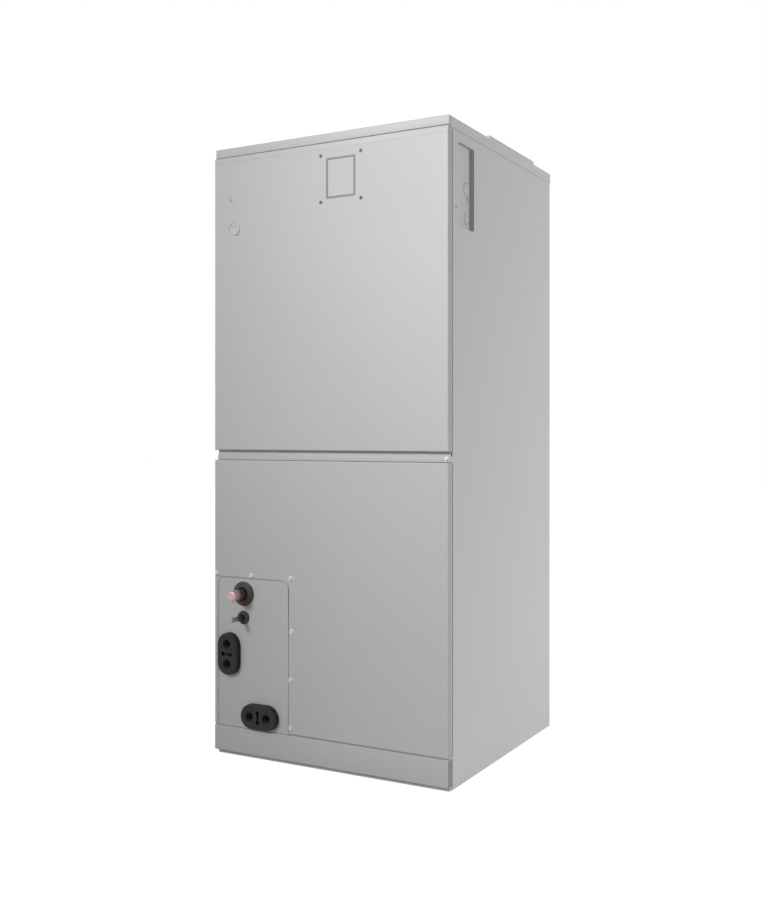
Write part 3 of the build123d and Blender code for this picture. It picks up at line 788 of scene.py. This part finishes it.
def add_seals():
    """Foam strips pressed out between the doors' returns and the front frame."""
    low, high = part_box("upper_door")
    half = seal_width / 2
    left = low[0] + half - seal_proud
    right = high[0] - half + seal_proud
    front = high[1] - seal_depth
    back = high[1]
    foot = low[2] + half
    head = high[2] - half
    path = [(left, foot), (right, foot), (right, head), (left, head)]
    add_piece("upper_seal_strip", [ribbon(path, front, back, seal_width, True)], "grommet_rubber", foam_and_slot_shade)
    low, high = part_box("lower_door")
    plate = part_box("pipe_plate")[1]
    foot = low[2] + half
    head = high[2] - half
    path = [(plate[0] + seal_end_gap, foot), (right, foot), (right, head), (left, head)]
    path.append((left, plate[2] + seal_end_gap))
    add_piece("lower_seal_strip", [ribbon(path, front, back, seal_width, False)], "grommet_rubber", foam_and_slot_shade)


# Coil slabs
coil_lean = radians(72)
coil_length = 0.43
coil_thickness = 0.06
fin_pitch = 0.0022
fin_sheet = 0.0003
coil_tube_radius = 0.0048
coil_tube_pitch = 0.0254
coil_tube_rows = (0.01, 0.03, 0.05)


def add_coil(name, node, side):
    """A leaning coil slab: a pack of thin fins on rows of copper tubes."""
    low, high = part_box(node)
    along = Vector((-side * cos(coil_lean), 0, sin(coil_lean)))
    foot_x = low[0] if side < 0 else high[0]
    outer_foot = Vector((foot_x, 0, low[2]))
    slant = Vector((side * coil_thickness * sin(coil_lean), 0, -coil_thickness * cos(coil_lean)))
    inner_foot = outer_foot - slant
    deep = outer_foot - inner_foot
    reach = along * coil_length
    outline = [inner_foot, inner_foot + deep, inner_foot + deep + reach, inner_foot + reach]
    fins = []
    count = int((high[1] - low[1] - 2 * fin_sheet) / fin_pitch)
    for index in range(count + 1):
        y = low[1] + fin_sheet + index * fin_pitch
        front = [corner + Vector((0, y, 0)) for corner in outline]
        back = [corner + Vector((0, y + fin_sheet, 0)) for corner in outline]
        faces = [(0, 1, 2, 3), (7, 6, 5, 4)]
        faces += [(step, step + 4, (step + 1) % 4 + 4, (step + 1) % 4) for step in range(4)]
        fins.append((front + back, faces))
    add_piece(name + "_fins", fins, "coil_fins", stands_for=[node])
    tubes = []
    for row, depth in enumerate(coil_tube_rows):
        start = coil_tube_pitch * (0.5 if row % 2 else 0.85)
        for index in range(int((coil_length - start) / coil_tube_pitch)):
            centre = inner_foot + deep * (depth / coil_thickness) + along * (start + index * coil_tube_pitch)
            ends = [centre + Vector((0, low[1], 0)), centre + Vector((0, high[1], 0))]
            tubes.append(tube(ends, coil_tube_radius, 10))
    add_piece(name + "_tubes", tubes, "copper", stands_for=[node])


def add_camera():
    """The camera of the photograph."""
    data = bpy.data.cameras.new("photo_camera")
    data.lens = camera_lens
    data.sensor_width = 36
    data.shift_y = camera_shift
    camera = bpy.data.objects.new("photo_camera", data)
    camera.location = camera_place
    camera.rotation_euler = camera_turn
    bpy.context.scene.collection.objects.link(camera)
    bpy.context.scene.camera = camera


def add_lamp(name, place, aim, spread, power):
    """A soft square lamp that faces a point, its light fading away from its axis."""
    data = bpy.data.lights.new(name, "AREA")
    data.size = lamp_size
    data.spread = spread
    data.energy = power
    lamp = bpy.data.objects.new(name, data)
    lamp.location = place
    lamp.rotation_euler = (Vector(aim) - Vector(place)).to_track_quat("-Z", "Y").to_euler()
    bpy.context.scene.collection.objects.link(lamp)


def seen_rays(tree):
    """An output that is 1 for rays from the camera, in reflections or through glass, and 0 for others."""
    rays = tree.nodes.new("ShaderNodeLightPath").outputs
    total = rays["Is Camera Ray"]
    for name in ("Is Glossy Ray", "Is Transmission Ray"):
        add = tree.nodes.new("ShaderNodeMath")
        add.operation = "ADD"
        add.use_clamp = True
        tree.links.new(total, add.inputs[0])
        tree.links.new(rays[name], add.inputs[1])
        total = add.outputs[0]
    return total


def add_world():
    """A white surround to the camera and in reflections, and a weaker fill light on the object."""
    world = bpy.data.worlds.new("surround")
    bpy.context.scene.world = world
    world.use_nodes = True
    tree = world.node_tree
    background = tree.nodes["Background"]
    background.inputs["Color"].default_value = (1, 1, 1, 1)
    level = tree.nodes.new("ShaderNodeMapRange")
    level.inputs["To Min"].default_value = world_fill
    level.inputs["To Max"].default_value = 1.0
    tree.links.new(seen_rays(tree), level.inputs["Value"])
    tree.links.new(level.outputs["Result"], background.inputs["Strength"])


def add_floor():
    """A white floor that keeps the cabinet's soft shadow."""
    mesh = bpy.data.meshes.new("floor")
    reach = 12
    corners = [(-reach, -reach, 0), (reach, -reach, 0), (reach, reach, 0), (-reach, reach, 0)]
    mesh.from_pydata(corners, [], [(0, 1, 2, 3)])
    floor = bpy.data.objects.new("floor", mesh)
    bpy.context.scene.collection.objects.link(floor)
    shader = Shader("floor_white")
    shader.set(Base_Color=(*floor_tone, 1), Roughness=0.9)
    glow = shader.node("ShaderNodeEmission")
    shader.join(shader.span(seen_rays(shader.tree), 0, 1, 0.0, floor_glow), glow.inputs["Strength"])
    both = shader.node("ShaderNodeAddShader")
    shader.join(shader.surface.outputs["BSDF"], both.inputs[0])
    shader.join(glow.outputs["Emission"], both.inputs[1])
    shader.join(both.outputs["Shader"], shader.tree.nodes["Material Output"].inputs["Surface"])
    mesh.materials.append(shader.material)


# Sheet-metal forms at the doors and the cap
fold_sheet = 0.001
fold_radius = 0.0015
nose_setback = 0.009
nose_height = 0.0115
nose_gap = 0.0004
stop_setback = 0.003
backing_setback = 0.003
filter_door_low = 0.008
filter_door_high = 0.0595
door_rise = 0.0044
door_lap = 0.008
cap_skirt_height = 0.018
cap_skirt_setback = 0.004
skin_proud = 0.00005


def add_seam_nose():
    """The centre rail's nose and the stop leg above it, which stand in the seam between the doors; the leg's
    lighter paint is painted light in the seam's shade.
    """
    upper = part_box("upper_door")[0]
    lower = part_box("lower_door")[1]
    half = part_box("side_panel_right")[1][0]
    front = upper[1] + nose_setback
    low = lower[2] + nose_gap
    high = low + nose_height

    def in_front(middle):
        return middle.y < front + fold_sheet

    nose = eased_box((-half, front, low), (half, lower[1], high), fold_radius, in_front)
    add_piece("seam_nose", [nose], "cabinet_metal")
    stop = front + stop_setback
    leg = eased_box((-half, stop, high - fold_sheet), (half, stop + fold_sheet, upper[2]), fold_sheet / 4)
    # Lighter paint on the leg as painted light
    add_piece("seam_stop", [leg], "cabinet_metal", painted_light_paint)


def add_filter_door():
    """The filter door as a tray that laps over the base rim, with painted shade on its ends, and the strip
    behind the seam above it, in darker paint as painted shade.
    """
    low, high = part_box("filter_door")
    tray_low = (low[0], low[1], filter_door_low)
    tray_high = (high[0], high[1], filter_door_high)
    tray = folded_tray(tray_low, tray_high, fold_radius, fold_sheet)
    # The tray's ends carry painted shade
    add_piece("filter_door_front", [tray], "cabinet_metal", filter_door_shaded_ends_paint, ["filter_door"])
    strip_low = (low[0] + fold_sheet, low[1] + backing_setback, filter_door_high - fold_sheet)
    strip_high = (high[0] - fold_sheet, high[1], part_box("lower_door")[0][2] + fold_sheet)
    strip = eased_box(strip_low, strip_high, fold_sheet / 4)
    # The seam strip is darker paint as painted shade
    add_piece("filter_seam_strip", [strip], "cabinet_metal", rim_painted_shade)


def add_cap_edges():
    """The upper door's rounded top edge, and the cap's skirt over it."""
    low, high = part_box("upper_door")
    front = low[1] - skin_proud
    top = high[2] + door_rise
    foot = high[2] - door_lap
    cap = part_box("top_cap")
    skirt_front = low[1] + cap_skirt_setback

    def on_top_or_corner(middle):
        on_top = middle.z > top - fold_sheet
        on_corner = abs(middle.x) > high[0] - fold_sheet and middle.y < front + fold_sheet
        return on_top or on_corner

    def in_front(middle):
        return middle.y < skirt_front + fold_sheet

    edge_high = (high[0], cap[0][1] - fold_sheet, top)
    forms = [eased_box((low[0], front, foot), edge_high, fold_radius, on_top_or_corner)]
    for side in (-1, 1):
        ends = sorted((side * (high[0] - fold_sheet), side * (high[0] + skin_proud)))
        leg_low = (ends[0], front + fold_radius, foot)
        leg_high = (ends[1], high[1], top)
        forms.append(eased_box(leg_low, leg_high, fold_sheet / 4, on_top_or_corner))
    # The door paint, with painted shade on the ends of the legs
    add_piece("upper_door_edge", forms, "cabinet_metal", door_shaded_returns_paint, sharp=radians(20))
    skirt_low = (cap[0][0], skirt_front, cap[1][2] - cap_skirt_height)
    skirt_high = (cap[1][0], cap[0][1] + skin_proud, cap[1][2])
    skirt = eased_box(skirt_low, skirt_high, fold_radius, in_front)
    add_piece("cap_front_skirt", [skirt], "cabinet_metal")


# The lower door's cut-out round the pipe plate
cut_out_right = -0.0843
cut_out_top = 0.366
cut_out_radius = 0.015
hem_radius = 0.0011
hem_start = 0.004
hem_end = 0.002


def add_cut_out_hem():
    """The rolled hem along the lower door's cut-out, in darker paint as painted shade along the cut edge."""
    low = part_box("lower_door")[0]
    face_y = low[1]
    centre = (cut_out_right - cut_out_radius, cut_out_top - cut_out_radius)
    path = [(low[0] + hem_start, face_y, cut_out_top)]
    path += [(x, face_y, z) for x, z in arc(centre, cut_out_radius, 90, 0, 8)]
    path.append((cut_out_right, face_y, low[2] + hem_end))
    add_piece("cut_out_hem", [tube(path, hem_radius, 10)], "cabinet_metal", rim_painted_shade)


# Breaker window in the upper door, in x and z
window_middle = (0.0365, 1.155)
window_size = (0.066, 0.08)
window_slot = 0.005
window_hole_pitch = 0.0903
window_hole_rim = ((0.0013, -mark_root), (0.0017, 0.0004), (0.0036, 0.0004), (0.0043, -mark_root))


def add_window_marks():
    """The breaker window's slot and the rims of its four screw holes, as raised strips in darker paint:
    painted shade where the slot and holes lie in shade.
    """
    face_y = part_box("upper_door")[0][1]
    x, z = window_middle
    wide = (window_size[0] - window_slot) / 2
    tall = (window_size[1] - window_slot) / 2
    path = [(x - wide, z - tall), (x + wide, z - tall), (x + wide, z + tall), (x - wide, z + tall)]
    slot_shade_strip = ribbon(path, face_y - mark_root, face_y + 2 * fold_sheet, window_slot, True)
    # The strip round the window is painted shade
    add_piece("window_slot_shade", [slot_shade_strip], "cabinet_metal", shade_paint)
    rims = []
    for across in (-0.5, 0.5):
        for up in (-0.5, 0.5):
            place = (x + across * window_hole_pitch, face_y, z + up * window_hole_pitch)
            rims.append(turned(window_hole_rim, place, (0, -1, 0), 24))
    add_piece("window_hole_rims", rims, "cabinet_metal", shade_paint)


# Wiring recess, with its knock-outs as (y, z, radius)
recess_flange = 0.008
recess_radius = 0.006
recess_blanks = ((-0.166, 1.125, 0.014), (-0.160, 1.106, 0.0045), (-0.167, 1.070, 0.0111))
blank_slot = 0.0008
blank_bridge = radians(14)
slot_proud = 0.0001
slot_steps = 24


def rounded_loop(low, high, grow, radius, steps=6):
    """Points (y, z) round a rounded rectangle, moved outwards by some distance."""
    loop = []
    corners = ((high[0], low[1], -90), (high[0], high[1], 0), (low[0], high[1], 90), (low[0], low[1], 180))
    turn = max(radius + grow, 0.0005)
    for y, z, start in corners:
        inset_y = (radius if y == low[0] else -radius) + y
        inset_z = (radius if z == low[1] else -radius) + z
        for step in range(steps + 1):
            angle = radians(start + 90 * step / steps)
            loop.append((inset_y + turn * cos(angle), inset_z + turn * sin(angle)))
    return loop


def slot_strip(place, radius, half):
    """The dark strip of a knock-out's cut line, round one half of it, in a plane of constant x, as painted
    shade where the cut lies in shade.
    """
    x, y, z = place
    start = half * pi + blank_bridge / 2
    points = []
    for step in range(slot_steps + 1):
        angle = start + (pi - blank_bridge) * step / slot_steps
        for reach in (radius - blank_slot, radius):
            points.append(Vector((x, y + reach * cos(angle), z + reach * sin(angle))))
    faces = [(2 * step, 2 * step + 1, 2 * step + 3, 2 * step + 2) for step in range(slot_steps)]
    return points, faces


def add_recess():
    """The pressed wiring recess: a flange behind the side panel, eased walls, a flat floor and knock-outs."""
    low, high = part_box("wiring_recess")
    mouth_low = (low[1] + recess_flange, low[2] + recess_flange)
    mouth_high = (high[1] - recess_flange, high[2] - recess_flange)
    mouth_x = high[0]
    floor_x = low[0] + fold_sheet
    turn = fold_radius * 0.3
    section = (
        (recess_flange, mouth_x - fold_sheet),
        (recess_flange, mouth_x),
        (fold_radius, mouth_x),
        (turn, mouth_x - turn),
        (0, mouth_x - fold_radius),
        (0, floor_x + fold_radius),
        (-turn, floor_x + turn),
        (-fold_radius, floor_x),
    )
    points = []
    for grow, x in section:
        points += [Vector((x, y, z)) for y, z in rounded_loop(mouth_low, mouth_high, grow, recess_radius)]
    rows = len(section)
    sides = len(points) // rows
    faces = bands(rows, sides) + end_faces(rows, sides)[1:]
    add_piece("recess_pocket", [(points, faces)], "cabinet_metal", stands_for=["wiring_recess"])
    blanks = []
    slots = []
    for y, z, radius in recess_blanks:
        blanks.append(knockout_blank((floor_x, y, z), radius - blank_slot - slot_proud, (1, 0, 0)))
        slots += [slot_strip((floor_x + slot_proud, y, z), radius, half) for half in (0, 1)]
    add_piece("recess_knockout_blanks", blanks, "cabinet_metal")
    # The cut lines are dark strips of painted shade
    add_piece("recess_knockout_slot_shade", slots, "cabinet_metal", foam_and_slot_shade)


# Screws round the pipe plate as (x, z)
top_screws = ((-0.2605, 0.3715), (-0.174, 0.3705), (-0.079, 0.3715))
right_screws = ((-0.0765, 0.2665), (-0.079, 0.169), (-0.079, 0.074))

# Screw in the centre rail's end, and screw in the right side as (y, z)
rail_screw = (0.2588, -0.2577, 0.6118)
rail_screw_scale = 0.85
side_screw = (-0.2315, 1.08)
side_screw_scale = 0.5

# Knock-out blanks of the upper door as (x, z, radius)
door_blanks = ((-0.2267, 1.138, 0.0041), (-0.2166, 1.076, 0.013))

# Screws of the back panel
back_screw_inset = 0.0095
back_screw_low = 0.06
back_screw_pitch = 0.185
back_screw_rows = 7


def add_front_details():
    """Screws and knock-out blanks on the front, and the screw on the right side."""
    face_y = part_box("upper_door")[0][1]
    places = [(x, face_y, z) for x, z in top_screws + right_screws]
    add_screws("pipe_plate_screws", places, (0, -1, 0))
    blanks = [knockout_blank((x, face_y, z), radius, (0, -1, 0)) for x, z, radius in door_blanks]
    add_piece("door_knockout_blanks", blanks, "cabinet_metal")
    add_screws("rail_end_screw", [rail_screw], (0, -1, 0), rail_screw_scale)
    side_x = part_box("side_panel_right")[1][0]
    place = (side_x, *side_screw)
    add_screws("side_panel_screw", [place], (1, 0, 0), side_screw_scale, materials["cabinet_metal"])


def add_rear_details():
    """Rows of screws along the back panel's upright edges."""
    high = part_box("back_panel")[1]
    places = []
    for side in (-1, 1):
        for row in range(back_screw_rows):
            height = back_screw_low + back_screw_pitch * row
            places.append((side * (high[0] - back_screw_inset), high[1], height))
    add_screws("back_panel_screws", places, (0, 1, 0))


add_camera()
dress_nodes()
add_grommet("suction_rubber", "suction_grommet", suction_bore)
add_grommet("liquid_rubber", "liquid_grommet", liquid_bore)
add_stub("suction_tube", "suction_line", suction_seat)
add_stub("liquid_tube", "liquid_line", liquid_seat, pale_copper)
add_threads("side_port_threads", "drain_boss_side", (0, 0, 1))
add_threads("lower_port_threads", "drain_boss_lower", (1, 0, 0))
add_seals()
add_pads()
add_coil("coil_left", "coil_slab_left", -1)
add_coil("coil_right", "coil_slab_right", 1)
add_seam_nose()
add_filter_door()
add_cap_edges()
add_cut_out_hem()
add_window_marks()
add_recess()
add_front_details()
add_rear_details()
add_world()
add_floor()
add_lamp("key_lamp", place=(-1.01, -4.0, 2.58), aim=(0.83, 0.17, 0.76), spread=radians(44), power=11.6)
add_lamp("side_lamp", place=(4.5, 1.6, 1.13), aim=(0.1, 1.6, -0.69), spread=radians(112), power=58)

bpy.context.scene.view_settings.view_transform = "Standard"
